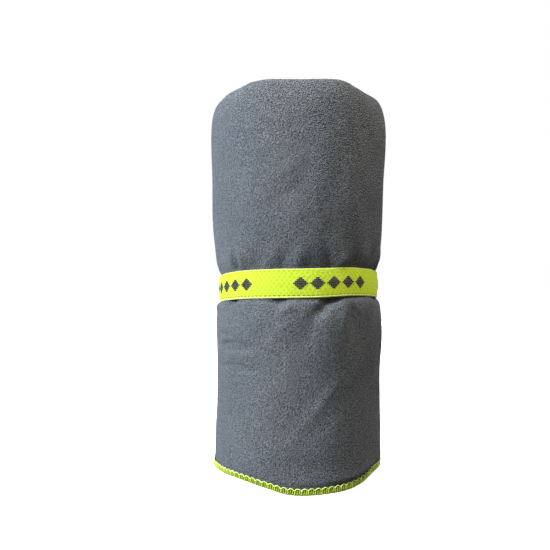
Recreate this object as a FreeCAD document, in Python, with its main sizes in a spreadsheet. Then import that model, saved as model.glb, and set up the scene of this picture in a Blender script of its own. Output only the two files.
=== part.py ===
"""Quick dry towel: a microfibre sheet folded in four, rolled up and held by a woven elastic band.

Frame: origin at the centre of the roll's base, +Z up along the roll's axis, front towards -Y.
Lengths are in millimetres and angles in degrees. Angles about Z start at +X.

The cloth is wound in whole turns. Each turn is a circle, apart from a short ramp at the back where it
climbs over the turn inside it. The winding angle runs from 0 at the core to 360 times the turns at the
free edge, and a depth is measured inwards from the outer face of the folded stack.
"""
import FreeCAD, Part
import math
import os
import Sketcher

V = FreeCAD.Vector

SIZES = {
    # the roll: outer radii at heights
    "roll_height": 221.0,
    "base_radius": 51.3,
    "lower_radius": 51.0,
    "waist_radius": 48.0,
    "over_band_radius": 49.9,
    "upper_radius": 52.3,
    "bulge_radius": 54.6,
    "top_radius": 52.0,
    "lower_height": 90.0,
    "over_band_height": 126.0,
    "upper_height": 145.0,
    "bulge_height": 203.0,
    # the winding
    "turn_count": 10,
    "turn_pitch": 4.6,
    "free_edge_angle": 110.0,
    "ramp_angle": 65.0,
    # the folded stack of plies
    "ply_count": 4,
    "ply_pitch": 1.06,
    "ply_thickness": 1.0,
    "fold_lift": 0.2,
    # the overlock edging
    "edging_height": 3.4,
    "edging_gap": 0.05,
    # the elastic band
    "band_width": 15.4,
    "band_centre_height": 112.5,
    "band_thickness": 0.9,
    "band_clearance": 0.3,
    "lap_angle": 18.0,
    "lap_middle_angle": 73.0,
    # the rubber threads, in grooves of the band's inner face
    "thread_size": 0.4,
    "thread_pitch": 1.2,
    "thread_count": 12,
    "groove_clearance": 0.02,
    # the woven motif: groups of stepped lozenges
    "motif_relief": 0.12,
    "motif_height": 6.4,
    "motif_angle": 9.2,
    "motif_pitch": 10.6,
    "motif_count": 5,
    "motif_step_count": 4,
    "group_count": 4,
    "group_pitch": 80.0,
    "first_group_angle": 133.0,
    # the bartack: two rows of stitches
    "tack_length": 1.6,
    "tack_thickness": 0.3,
    "tack_pitch": 0.9,
    "tack_count": 14,
    "tack_row_angle": 9.0,
}

doc = FreeCAD.newDocument("quick_dry_towel")
sheet = doc.addObject("Spreadsheet::Sheet", "sizes")
nodes = []


def fill_sheet():
    for row, (name, value) in enumerate(SIZES.items(), start=1):
        sheet.set(f"A{row}", name)
        sheet.set(f"B{row}", str(value))
        sheet.setAlias(f"B{row}", name)
    doc.recompute()


def size(name):
    return float(sheet.get(name))


def count(name):
    return int(round(size(name)))


def make_feature(label, shape):
    feature = doc.addObject("Part::Feature", label)
    feature.Shape = shape
    feature.Label = label
    nodes.append(feature)


def make_body(label):
    body = doc.addObject("PartDesign::Body", label)
    body.Label = label
    body.AllowCompound = True
    nodes.append(body)
    return body


# The wound cloth and its edging


def roll_profile():
    """Heights and outer radii of the roll, from the top of the edging to the top of the roll."""
    half_band = size("band_width") / 2
    band_centre = size("band_centre_height")
    return [
        (size("edging_height"), size("base_radius")),
        (size("lower_height"), size("lower_radius")),
        (band_centre - half_band, size("waist_radius")),
        (band_centre + half_band, size("waist_radius")),
        (size("over_band_height"), size("over_band_radius")),
        (size("upper_height"), size("upper_radius")),
        (size("bulge_height"), size("bulge_radius")),
        (size("roll_height"), size("top_radius")),
    ]


def full_winding():
    return 360.0 * count("turn_count")


def winding_point(winding, depth, height, radius):
    """A point of the winding at one height, where the roll's outer radius is radius."""
    turns = count("turn_count")
    turn = min(math.floor(winding / 360), turns - 1)
    climbed = min((winding - 360 * turn) / size("ramp_angle"), 1.0)
    climb = turn + climbed * climbed * (3 - 2 * climbed)
    reach = size("base_radius") - size("turn_pitch") * (turns - climb) - depth
    reach *= radius / size("base_radius")
    angle = math.radians(size("free_edge_angle") + winding)
    return V(reach * math.cos(angle), reach * math.sin(angle), height)


def winding_stops(start, end):
    """Winding angles where one arc of the winding meets the next."""
    ramp = size("ramp_angle")
    half_round = (360 + ramp) / 2
    stops = [360 * turn + local for turn in range(count("turn_count"))
             for local in (0, ramp / 2, ramp, half_round)]
    return [start] + [stop for stop in stops if start < stop < end] + [end]


def winding_arcs(start, end, depth, height, radius):
    stops = winding_stops(start, end)
    arcs = []
    for first, last in zip(stops, stops[1:]):
        windings = (first, (first + last) / 2, last)
        arcs.append(Part.Arc(*[winding_point(w, depth, height, radius) for w in windings]).toShape())
    return arcs


def wound_section(start, end, near, far, height, radius):
    """The closed outline of a wound strip at one height, between two depths."""
    edges = winding_arcs(start, end, near, height, radius)
    edges += winding_arcs(start, end, far, height, radius)
    for winding in (start, end):
        corners = [winding_point(winding, depth, height, radius) for depth in (near, far)]
        edges.append(Part.makeLine(*corners))
    return Part.Wire(Part.sortEdges(edges)[0])


def wound_strip(start, end, near, far, levels):
    """A solid wound between two winding angles and two depths, through (height, radius) levels."""
    sections = [wound_section(start, end, near, far, height, radius) for height, radius in levels]
    return Part.makeLoft(sections, True, True)


def edging_winding(winding):
    """The winding angle that the edging's height covers where the stack's middle lies."""
    middle = size("ply_pitch") * count("ply_count") / 2
    point = winding_point(winding, middle, 0, size("base_radius"))
    return math.degrees(size("edging_height") / math.hypot(point.x, point.y))


def cloth_ends():
    """Winding angles of the bare cloth's ends, between the two short edgings."""
    start = edging_winding(size("ramp_angle") / 2)
    return start, full_winding() - edging_winding(full_winding())


def foot_levels(bottom):
    radius = size("base_radius")
    return [(bottom, radius), (size("edging_height") - size("edging_gap"), radius)]


def make_cloth():
    """The stack of plies; its inner half goes down between the edgings as the bottom fold."""
    start, end = cloth_ends()
    stack = size("ply_pitch") * count("ply_count")
    upper = wound_strip(start, end, 0, stack, roll_profile())
    fold_levels = [(size("fold_lift"), size("base_radius")), roll_profile()[0]]
    fold = wound_strip(start, end, stack / 2, stack, fold_levels)
    make_feature("towel_cloth", upper.fuse(fold))


def make_long_edging(label, ply):
    """The edging of a long edge of the towel, wound round the base of the roll."""
    near = ply * size("ply_pitch")
    far = near + size("ply_thickness")
    make_feature(label, wound_strip(0, full_winding(), near, far, foot_levels(0.0)))


def make_short_edging(label, start, end):
    """The edging of a short edge, folded with the cloth: one strip on each ply."""
    strips = []
    for ply in range(count("ply_count")):
        near = ply * size("ply_pitch")
        strips.append(wound_strip(start, end, near, near + size("ply_thickness"), roll_profile()))
    make_feature(label, Part.makeCompound(strips))


def make_towel():
    gap = math.degrees(size("edging_gap") / size("base_radius"))
    start, end = cloth_ends()
    make_cloth()
    make_long_edging("long_edging_outer", 0)
    make_long_edging("long_edging_inner", 1)
    make_short_edging("short_edging_free", end + gap, full_winding())
    make_short_edging("short_edging_core", 0, start - gap)


# The elastic band


def origin_plane(body, role):
    return next(feature for feature in body.Origin.OriginFeatures if feature.Role == role)


def ring_section(body, name, left, width, bottom, height):
    """A rectangle beside the Z axis on the XZ plane. Its place and size are expressions."""
    sketch = body.newObject("Sketcher::SketchObject", name)
    sketch.AttachmentSupport = [(origin_plane(body, "XZ_Plane"), "")]
    sketch.MapMode = "FlatFace"
    corners = [V(1, 1, 0), V(2, 1, 0), V(2, 2, 0), V(1, 2, 0)]
    for side, kind in enumerate(("Horizontal", "Vertical", "Horizontal", "Vertical")):
        sketch.addGeometry(Part.LineSegment(corners[side], corners[(side + 1) % 4]), False)
        sketch.addConstraint(Sketcher.Constraint(kind, side))
    for side in range(4):
        sketch.addConstraint(Sketcher.Constraint("Coincident", side, 2, (side + 1) % 4, 1))
    driven = [
        ("DistanceX", (-1, 1, 0, 1), left),
        ("DistanceY", (-1, 1, 0, 1), bottom),
        ("DistanceX", (0, 1, 0, 2), width),
        ("DistanceY", (1, 1, 1, 2), height),
    ]
    for kind, points, expression in driven:
        constraint = sketch.addConstraint(Sketcher.Constraint(kind, *points, 1.0))
        sketch.setExpression(f"Constraints[{constraint}]", expression)
    return sketch


def revolve(body, kind, name, sketch, angle="360"):
    """A Revolution or Groove of the sketch about the Z axis."""
    feature = body.newObject(f"PartDesign::{kind}", name)
    feature.Profile = sketch
    feature.ReferenceAxis = (sketch, ["V_Axis"])
    feature.setExpression("Angle", angle)
    body.Tip = feature
    doc.recompute()
    return feature


def repeat_up(body, name, feature, sketch, occurrences, offset):
    pattern = body.newObject("PartDesign::LinearPattern", name)
    pattern.Originals = [feature]
    pattern.Direction = (sketch, ["V_Axis"])
    pattern.Mode = "Spacing"
    pattern.setExpression("Occurrences", occurrences)
    pattern.setExpression("Offset", offset)
    body.Tip = pattern
    doc.recompute()


BAND_INSIDE = "(sizes.waist_radius + sizes.band_clearance)"
BAND_OUTSIDE = f"({BAND_INSIDE} + sizes.band_thickness)"
BAND_BOTTOM = "(sizes.band_centre_height - sizes.band_width / 2)"
GROOVE_SIZE = "(sizes.thread_size + 2 * sizes.groove_clearance)"
LOWEST_THREAD = (
    "(sizes.band_centre_height - sizes.thread_pitch * (sizes.thread_count - 1) / 2"
    " - sizes.thread_size / 2)"
)


def turn_sketch(sketch, angle):
    """Turn a section about Z by an angle that is an expression."""
    sketch.AttachmentOffset = FreeCAD.Placement(V(0, 0, 0), FreeCAD.Rotation(V(0, 1, 0), 1))
    sketch.setExpression("AttachmentOffset.Rotation.Angle", angle)


def make_elastic_band():
    """The woven loop: a ring with grooves for its rubber threads, and a lapped end outside it."""
    body = make_body("elastic_band")
    ring = ring_section(body, "band_section", BAND_INSIDE, "sizes.band_thickness",
                        BAND_BOTTOM, "sizes.band_width")
    whole = revolve(body, "Revolution", "ring", ring).Shape.Volume
    groove_section = ring_section(body, "groove_section", BAND_INSIDE, GROOVE_SIZE,
                                  f"{LOWEST_THREAD} - sizes.groove_clearance", GROOVE_SIZE)
    groove = revolve(body, "Groove", "groove", groove_section)
    repeat_up(body, "grooves", groove, groove_section, "sizes.thread_count", "sizes.thread_pitch")
    if not body.Shape.Volume < whole:
        raise RuntimeError("the thread grooves cut nothing")
    lap = ring_section(body, "lap_section", BAND_OUTSIDE, "sizes.band_thickness",
                       BAND_BOTTOM, "sizes.band_width")
    turn_sketch(lap, "sizes.lap_middle_angle - sizes.lap_angle / 2")
    revolve(body, "Revolution", "lap", lap, "sizes.lap_angle")


def make_rubber_threads():
    """The stretched rubber threads that the weave holds."""
    body = make_body("rubber_threads")
    section = ring_section(body, "thread_section", f"{BAND_INSIDE} + sizes.groove_clearance",
                           "sizes.thread_size", LOWEST_THREAD, "sizes.thread_size")
    thread = revolve(body, "Revolution", "thread", section)
    repeat_up(body, "threads", thread, section, "sizes.thread_count", "sizes.thread_pitch")


def band_outer_radius():
    return size("waist_radius") + size("band_clearance") + size("band_thickness")


def arc_patch(radius, thickness, bottom, height, middle, angle):
    """A thin curved patch outside a radius, centred on an angle about Z."""
    base = V(0, 0, bottom)
    outer = Part.makeCylinder(radius + thickness, height, base, V(0, 0, 1), angle)
    patch = outer.cut(Part.makeCylinder(radius, height, base, V(0, 0, 1), 360))
    patch.rotate(V(0, 0, 0), V(0, 0, 1), middle - angle / 2)
    return patch


def stepped_lozenge(middle):
    """One lozenge of the motif: rows of contrast yarn, longest in the middle."""
    steps = count("motif_step_count")
    row_height = size("motif_height") / (2 * steps - 1)
    bottom = size("band_centre_height") - size("motif_height") / 2
    rows = []
    for row in range(2 * steps - 1):
        share = (steps - abs(row - (steps - 1))) / steps
        rows.append(arc_patch(band_outer_radius(), size("motif_relief"), bottom + row * row_height,
                              row_height, middle, share * size("motif_angle")))
    return rows[0].multiFuse(rows[1:]).removeSplitter()


def make_motif():
    """Groups of lozenges in contrast yarn, on the band's outer face."""
    lozenges = []
    for group in range(count("group_count")):
        group_middle = size("first_group_angle") + group * size("group_pitch")
        for place in range(count("motif_count")):
            offset = (place - (count("motif_count") - 1) / 2) * size("motif_pitch")
            lozenges.append(stepped_lozenge(group_middle + offset))
    make_feature("woven_motif", Part.makeCompound(lozenges))


def make_bartack():
    """Two rows of short stitches that close the loop, across the lapped end."""
    radius = band_outer_radius() + size("band_thickness")
    stroke_angle = math.degrees(size("tack_length") / radius)
    stitches = []
    for side in (-0.5, 0.5):
        middle = size("lap_middle_angle") + side * size("tack_row_angle")
        for stitch in range(count("tack_count")):
            rise = (stitch - (count("tack_count") - 1) / 2) * size("tack_pitch")
            bottom = size("band_centre_height") + rise - size("tack_thickness") / 2
            stitches.append(arc_patch(radius, size("tack_thickness"), bottom,
                                      size("tack_thickness"), middle, stroke_angle))
    make_feature("band_bartack", Part.makeCompound(stitches))


def check_document():
    doc.recompute()
    for thing in doc.Objects:
        if "Invalid" in thing.State or "Error" in thing.State:
            raise RuntimeError(f"{thing.Label} failed: {thing.State}")
    for thing in nodes:
        if thing.Shape.isNull() or not thing.Shape.isValid() or not thing.Shape.Solids:
            raise RuntimeError(f"{thing.Label} has no valid solid")


def export_nodes():
    os.makedirs("parts", exist_ok=True)
    for thing in nodes:
        thing.Shape.exportStep(f"parts/{thing.Label}.step")
        print(f"{thing.Label}: {thing.Shape.Volume:.0f} mm3, {len(thing.Shape.Solids)} solids")


fill_sheet()
make_towel()
make_elastic_band()
make_rubber_threads()
make_motif()
make_bartack()
check_document()
export_nodes()
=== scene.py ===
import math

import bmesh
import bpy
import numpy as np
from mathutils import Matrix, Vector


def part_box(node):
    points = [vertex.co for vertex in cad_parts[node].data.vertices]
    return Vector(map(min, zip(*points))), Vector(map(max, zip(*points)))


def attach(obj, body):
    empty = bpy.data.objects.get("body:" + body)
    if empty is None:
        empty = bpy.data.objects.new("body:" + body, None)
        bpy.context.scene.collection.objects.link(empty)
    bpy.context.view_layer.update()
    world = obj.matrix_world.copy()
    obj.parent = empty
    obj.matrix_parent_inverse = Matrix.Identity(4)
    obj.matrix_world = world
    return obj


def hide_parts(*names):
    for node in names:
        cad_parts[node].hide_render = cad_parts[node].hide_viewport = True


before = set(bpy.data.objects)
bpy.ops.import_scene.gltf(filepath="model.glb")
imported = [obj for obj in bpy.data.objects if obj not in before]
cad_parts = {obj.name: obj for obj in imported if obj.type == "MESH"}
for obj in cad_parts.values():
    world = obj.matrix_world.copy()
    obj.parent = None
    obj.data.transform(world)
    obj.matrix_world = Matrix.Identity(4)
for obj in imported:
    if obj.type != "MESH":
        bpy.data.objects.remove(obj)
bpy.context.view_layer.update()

# Quick dry towel: a microfibre sheet folded in four, rolled up and held by a woven elastic band.
# Lengths are in metres unless a comment says otherwise. Angles are in degrees about the roll's
# axis, from +X, so the front is at 270. A winding angle counts along the sheet from its end at the
# core, and a depth is measured from the outer face of the four plies.

MM = 0.001

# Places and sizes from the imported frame
EDGING_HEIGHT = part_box("long_edging_outer")[1].z
BASE_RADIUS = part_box("long_edging_outer")[1].x
ROLL_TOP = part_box("towel_cloth")[1].z
BAND_LOW, BAND_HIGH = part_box("elastic_band")
BAND_WIDTH = BAND_HIGH.z - BAND_LOW.z
BAND_MIDDLE = (BAND_HIGH.z + BAND_LOW.z) / 2

# The winding, as in the frame
TURNS = 10
FULL_WINDING = 360 * TURNS
TURN_PITCH = 4.6 * MM
RAMP_ANGLE = 65
FREE_EDGE_ANGLE = 110
PLY_PITCH = 1.06 * MM
CLOTH_THICKNESS = 0.9 * MM

FRONT = 270

# Heights and outer radii of the roll in millimetres: its base, its lower half, the pinch under the
# band, the bulge above and the rounded top
PROFILE = [
    (0, 51.2), (8, 51.6), (22, 51.6), (40, 51), (60, 50.8), (76, 51.2), (88, 51.4), (94, 51.1),
    (98, 50.7), (101, 50.2), (103, 49.2), (104.2, 48.2), (105, 48), (108, 48.3), (112.5, 48.45),
    (117, 48.3), (120.4, 48), (121.2, 48.2), (122.4, 48.9), (124.2, 49.6), (128, 50.6),
    (137, 51.6), (145, 52.3), (166, 53.3), (181, 53.8), (196, 54.4), (204, 54.6), (211, 54.2),
    (216, 53.3), (221, 51.8),
]

# How many millimetres the band rides above its mean height, by angle from the front
BAND_WAVE = [
    (-180, 0.4), (-135, -0.8), (-105, -3), (-78, -3.3), (-55, -1.8), (-35, -0.7), (-12, -0.2),
    (12, 0.1), (36, 0.8), (56, 0.3), (80, -1), (110, -0.6), (145, 0.6), (180, 0.4),
]

# How many millimetres the roll's bottom edge lifts off the floor, by angle from the front
HEM_WAVE = [
    (-180, 0.4), (-150, 0), (-110, 1), (-80, 1.7), (-66, 3), (-56, 3.6), (-43, 4.6),
    (-34, 4.3), (-27, 3.6), (-19, 2.6), (-13, 1.4), (-6, 0.3), (2, 0), (18, 0), (26, 0),
    (34, 0.2), (41, 0.8), (48, 1.6), (54, 2.5), (60, 2.9), (68, 2.1), (80, 0.9), (95, 0.5),
    (145, 0.1), (180, 0.4),
]

# On the right the inner layers stay down while the outer edge lifts: the angles from the front
# where that starts and ends, how wide its ends are, and the share of the lift that they keep
INNER_HEM = (22, 100, 14, 0.4)

# How many millimetres the rim at the top stands above its mean height, by angle from the front
RIM_WAVE = [
    (-180, -0.6), (-120, -0.8), (-90, -1.6), (-60, -2), (-51, -0.9), (-41, -0.3), (-35, 0.2),
    (-30, 0.9), (-22, 0.9), (-8, -0.2), (0, -0.5), (12, 0.1), (27, 1.5), (32, 1.1), (36, 0.1),
    (41, -0.7), (48, -1.5), (62, -1), (80, -1.4), (120, -1), (180, -0.6),
]

# How many millimetres the bottom edge flares outwards, by angle from the front
HEM_FLARE = [
    (-180, 0.2), (-130, 0.6), (-100, 1.7), (-80, 1.8), (-62, 0.9), (-40, 0.2), (0, -0.1), (35, 0),
    (55, -0.5), (70, -0.4), (85, 0), (110, 0.3), (180, 0.2),
]

# Folds: angle from the front, height in millimetres, half widths in degrees and in millimetres,
# lean in degrees per millimetre of height, and how many millimetres the fold stands out
FOLDS = [
    # broad swells and hollows of the whole roll
    (80, 82, 28, 18, 0, 1.2), (-80, 98.5, 10, 3, 0, 1),
    (18, 32, 12, 20, 0, 0.5), (62, 24, 24, 24, 0, -0.9),
    (-80, 152, 28, 22, 0, 0.9), (80, 152, 28, 20, 0, -0.6),
    # soft creases of the upper half
    (-25, 156, 8, 24, 0, 0.55), (-41, 158, 7, 22, 0, -0.40),
    (-5, 173, 6, 7, 1.5, 0.55), (-4, 161, 6, 6, 1.2, -0.55),
    (0, 149, 7, 5, 0.6, 0.55), (12, 170, 6, 13, 0, 0.45),
    (24, 168, 6, 15, 0.2, -0.40), (34, 160, 6, 20, -0.2, 0.45),
    (20, 141, 6, 6, 0.4, -0.40), (-52, 178, 6, 9, 0, -0.45),
    (-15, 198, 9, 5, 1, 0.40), (22, 203, 5, 7, -0.6, -0.50),
    (56, 196, 5, 12, 0.4, 0.50), (52, 146, 5, 14, 0.3, -0.50),
    # beside the band's upper edge
    (-45, 123.5, 2.2, 5, 0, -2.2), (-51, 125, 3, 5, 0, 0.8),
    (-39, 125, 3.4, 6, 0.1, 1.3), (-27, 124, 4, 5, 0.4, -0.6),
    (-18, 125, 4, 5, 0.2, 0.4), (-9, 124.5, 4, 6, 0.2, -1.1),
    (0, 125, 3.8, 5, 0.1, 0.9), (9, 126, 6, 6, 0, -0.5),
    (20, 124.5, 3.6, 7, -0.3, -1.6), (29.5, 124, 2.8, 4.8, 0.2, 1.4),
    (40, 125, 4, 7, 0.3, -1), (50, 127, 4, 7, 0.1, 0.5),
    (60, 126, 3.6, 8, 0.3, -1.3), (70, 128, 4, 8, 0.2, 1),
    # below the band's lower edge
    (-51, 102.6, 4, 1.9, 0, -4), (-38, 101.5, 5, 3, 0, 0.6),
    (-30, 97, 9, 6, 0, -0.6), (-12, 103.7, 4.4, 2.3, 0.3, -4.7),
    (-7, 98.8, 3.6, 3.4, 0.9, 1), (-8, 91, 6, 9, 0.3, 0.8),
    (8, 90, 6, 11, 0.3, -1.1), (22.6, 104, 4.8, 2.5, 0.3, -4.8),
    (16, 99.4, 4.6, 4.8, 0.8, -2.8), (29, 95, 3.8, 7.5, 0.2, 1.2),
    (38, 92, 4, 8, 0, -1.6), (49, 99, 5, 6, 0, 1),
    (62, 98, 3.5, 7, 0.4, -1.3), (-66, 100, 4, 4, 0, 0.9),
    (-52, 100, 3.4, 5, 0.3, -1),
    # creases of the lower half
    (-55, 83.2, 5, 1.4, 0.3, -1.4), (-55, 80.6, 6, 1.7, 0.3, 0.8),
    (-23, 85, 6, 5, 0.4, -0.8), (-46, 76.8, 14, 2.2, 0, -2.2),
    (-46, 73.2, 14, 1.8, 0, 0.5), (-42, 70.5, 12, 3.4, 0, 0.6),
    (-44, 64.8, 13, 1.7, 0, -2), (-44, 62, 13, 1.6, 0, 0.7),
    (13, 47, 3.2, 15, 0.92, 0.45), (20, 42, 5.5, 13, 0.92, -0.25),
    (6, 50, 6, 12, 0.92, -0.3), (-14, 52, 7, 16, 0.6, 0.35),
    (-42, 40, 6, 20, 0, -0.35), (40, 66, 6, 9, 0.6, 0.5),
    (54, 54, 5, 16, 0.3, -0.5), (-8, 22, 12, 6, 0.6, 0.35),
    (12, 14, 12, 4, 0.4, -0.35), (44, 4.2, 26, 1.2, 0, -1),
    (44, 7.2, 26, 2.4, 0, 0.6),
    # the back
    (120, 125, 3, 6, 0.2, -1.6), (128, 126, 4, 7, 0.2, 1),
    (146, 100, 3.5, 7, -0.3, -1.6), (137, 98, 4, 8, -0.3, 1),
    (-128, 101, 4, 6, 0.4, -1.6), (-137, 98, 4, 7, 0.4, 1.1),
    (-100, 125, 3.5, 6, -0.2, -1.5), (-108, 126, 4, 7, -0.2, 1),
    (-88, 99, 4, 6, 0.3, -1.2), (100, 99.5, 4, 5, 0.3, -1.4),
    (92, 126, 4, 7, -0.2, -1.3), (-160, 125, 4, 6, 0.3, -1.3),
    (-147, 152, 7, 22, 0.3, 0.5), (-118, 60, 7, 20, -0.5, 0.5),
    (110, 60, 7, 16, 0.8, 0.5), (125, 165, 7, 18, -0.5, 0.5),
    (-100, 176, 8, 16, 0.5, -0.5),
]

# How far up and down the band's rise, the hem's lift and flare, and the rim's rise are felt
BAND_REACH = 34 * MM
HEM_REACH = 30 * MM
FLARE_REACH = 4 * MM
RIM_START = 150 * MM
RIM_REACH = 66 * MM

# Unevenness of the surface, of the gathers above and below the band, and of the turns inside
SURFACE_WAVE = 0.40 * MM
GATHER_WAVE = 0.35 * MM
GATHER_DISTANCE = 12 * MM
GATHER_WIDTH = 9 * MM
INSIDE_WAVE = 0.55 * MM

# How much the band flattens folds: bumps from just outside its edge, hollows from its edge in
FLATTENED = 0.85
PRESSED_WIDTH = 1.2 * MM
BRIDGED_WIDTH = 3.0 * MM


# Shape of the roll


def smooth_step(share):
    share = np.clip(share, 0.0, 1.0)
    return share * share * (3 - 2 * share)


def through(points, where):
    """A smooth curve through (place, value) points: cubic, with no overshoot between them."""
    xs = np.array([p[0] for p in points], float)
    ys = np.array([p[1] for p in points], float)
    slopes = np.diff(ys) / np.diff(xs)
    rising = slopes[:-1] * slopes[1:] > 0
    sums = np.where(rising, slopes[:-1] + slopes[1:], 1)
    tangents = np.zeros(len(xs))
    tangents[1:-1] = np.where(rising, 2 * slopes[:-1] * slopes[1:] / sums, 0)
    where = np.clip(where, xs[0], xs[-1])
    k = np.clip(np.searchsorted(xs, where, side="right") - 1, 0, len(xs) - 2)
    width = xs[k + 1] - xs[k]
    t = (where - xs[k]) / width
    return (
        (1 + 2 * t) * (1 - t) ** 2 * ys[k]
        + t * (1 - t) ** 2 * width * tangents[k]
        + t * t * (3 - 2 * t) * ys[k + 1]
        + t * t * (t - 1) * width * tangents[k + 1]
    )


def from_front(angle):
    """The angle from the front, between -180 and 180; positive towards +X."""
    return (angle - FRONT + 180) % 360 - 180


def waves(angle, height, seed, longest, count):
    """Gentle unevenness between about -1 and 1, the same on each run."""
    rng = np.random.RandomState(seed)
    total = np.zeros(np.broadcast(angle, height).shape)
    for k in range(count):
        around = rng.randint(2, 9 + 3 * k)
        up = rng.uniform(-1, 1) * 2 * math.pi / longest * (1 + k / 2)
        phase = rng.uniform(0, 2 * math.pi)
        total += np.sin(np.radians(angle) * around + height * up + phase) / (1 + 0.35 * k)
    return total / math.sqrt(count)


def band_rise(angle):
    return through(BAND_WAVE, from_front(angle)) * MM


def hem_rise(angle, depth):
    """How far the bottom of the roll lifts off the floor, at a depth in its outer layers."""
    start, end, soft, share = INNER_HEM
    where = from_front(angle)
    loose = smooth_step((where - start) / soft + 0.5) * smooth_step((end - where) / soft + 0.5)
    inner = smooth_step((depth / PLY_PITCH - 0.95) / 0.5)
    return through(HEM_WAVE, where) * MM * (1 - (1 - share) * loose * inner)


def rim_rise(angle):
    return through(RIM_WAVE, from_front(angle)) * MM


def roll_radius(angle, height):
    """Outer radius of the roll, pinched where the band rides."""
    near_band = np.exp(-(((height - BAND_MIDDLE) / BAND_REACH) ** 2))
    level = height - band_rise(angle) * near_band
    return through(PROFILE, level / MM) * MM


def folds(angle, height):
    """How far folds, gathers and unevenness move the surface outwards."""
    out = np.zeros(np.broadcast(angle, height).shape)
    for middle, level, wide, tall, lean, reach in FOLDS:
        rise = height / MM - level
        off = (from_front(angle) - middle - lean * rise + 180) % 360 - 180
        out += reach * MM * np.exp(-((off / wide) ** 2) - (rise / tall) ** 2)
    from_gathers = (np.abs(height - BAND_MIDDLE) - GATHER_DISTANCE) / GATHER_WIDTH
    gathers = waves(angle * 2, height, 5, 60 * MM, 5) * np.exp(-from_gathers ** 2)
    out += GATHER_WAVE * gathers + SURFACE_WAVE * waves(angle, height, 11, 90 * MM, 6)
    under = BAND_WIDTH / 2 - np.abs(height - band_rise(angle) - BAND_MIDDLE)
    pressed = smooth_step(under / PRESSED_WIDTH + 1)
    bridged = smooth_step(under / BRIDGED_WIDTH)
    return out * (1 - FLATTENED * np.where(out > 0, pressed, bridged))


def unrest(angle, share):
    """How far the turns inside the roll lie from an even spiral."""
    calm = smooth_step((share - 0.15) / 0.3) * smooth_step((0.93 - share) / 0.2)
    a = np.radians(angle)
    return INSIDE_WAVE * calm * (np.sin(2 * a + 13 * share) + 0.7 * np.sin(3 * a - 19 * share + 1))


def stray(winding, height):
    """How far the free edge wanders from a straight line, in degrees of winding."""
    near_end = smooth_step((winding - FULL_WINDING + 40) / 40)
    return near_end * (0.9 * np.sin(height / (31 * MM) + 0.6) + 0.5 * np.sin(height / (13 * MM)))


def place(winding, depth, height):
    """Points in space for winding angles, depths from the stack's outer face, and heights."""
    winding, depth, height = np.broadcast_arrays(winding, depth, height)
    winding = winding + stray(winding, height)
    turn = np.clip(np.floor(winding / 360), 0, TURNS - 1)
    climb = turn + smooth_step((winding - 360 * turn) / RAMP_ANGLE)
    share = (BASE_RADIUS - TURN_PITCH * (TURNS - climb) - depth) / BASE_RADIUS
    outer = np.clip(share, 0, 1.1)
    angle = FREE_EDGE_ANGLE + winding
    flare = through(HEM_FLARE, from_front(angle)) * MM * np.exp(-height / FLARE_REACH)
    radius = share * roll_radius(angle, height) + unrest(angle, share)
    radius += folds(angle, height) * outer ** 4 + flare * outer ** 12
    near_rim = smooth_step((height - RIM_START) / RIM_REACH)
    lift = hem_rise(angle, depth) * outer ** 3 * np.exp(-height / HEM_REACH)
    lift += rim_rise(angle) * outer ** 4 * near_rim
    a = np.radians(angle)
    return np.stack([radius * np.cos(a), radius * np.sin(a), height + lift], axis=-1)


# Mesh helpers


def new_mesh(name, points, faces, material):
    mesh = bpy.data.meshes.new(name)
    mesh.from_pydata([tuple(p) for p in points], [], faces)
    mesh.update()
    mesh.polygons.foreach_set("use_smooth", [True] * len(mesh.polygons))
    mesh.materials.append(material)
    piece = bpy.data.objects.new(name, mesh)
    bpy.context.scene.collection.objects.link(piece)
    return piece


def face_outwards(piece):
    shape = bmesh.new()
    shape.from_mesh(piece.data)
    bmesh.ops.recalc_face_normals(shape, faces=shape.faces)
    shape.to_mesh(piece.data)
    shape.free()


def joining_faces(here, there, size):
    """Quads between two rings of points."""
    return [(here + r, there + r, there + (r + 1) % size, here + (r + 1) % size)
            for r in range(size)]


def tube_faces(rings, size, start=0, closed=False):
    """Quads of a tube stored ring by ring; a closed one joins its last ring to its first."""
    faces = []
    for ring in range(rings if closed else rings - 1):
        faces += joining_faces(start + ring * size, start + ((ring + 1) % rings) * size, size)
    return faces


def tube_ends(rings, size, start=0):
    """The face on each end of an open tube."""
    last = start + (rings - 1) * size
    return [tuple(range(start + size - 1, start - 1, -1)), tuple(range(last, last + size))]


def flat_end(start, rows):
    """Quads across the end of a tube that is nearly flat."""
    return [(start + r, start + r + 1, start + 2 * rows - 2 - r, start + 2 * rows - 1 - r)
            for r in range(rows - 1)]


def unit(vectors):
    return vectors / np.maximum(np.linalg.norm(vectors, axis=-1, keepdims=True), 1e-12)


def runs_along(path):
    """The distance along a path to each of its points."""
    return np.concatenate([[0], np.cumsum(np.linalg.norm(np.diff(path, axis=0), axis=1))])


def oval_tube(path, normals, half_wide, half_thick, sides, closed=False):
    """Points of a tube with an oval section whose short way lies along the normals."""
    if closed:
        tangents = unit(np.roll(path, -1, 0) - np.roll(path, 1, 0))
    else:
        tangents = unit(np.gradient(path, axis=0))
    normals = unit(normals - tangents * (normals * tangents).sum(-1, keepdims=True))
    across = np.cross(tangents, normals)
    turn = np.linspace(0, 2 * math.pi, sides, endpoint=False)
    return (path[:, None] + half_wide * np.cos(turn)[None, :, None] * across[:, None]
            + half_thick * np.sin(turn)[None, :, None] * normals[:, None]).reshape(-1, 3)


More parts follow.
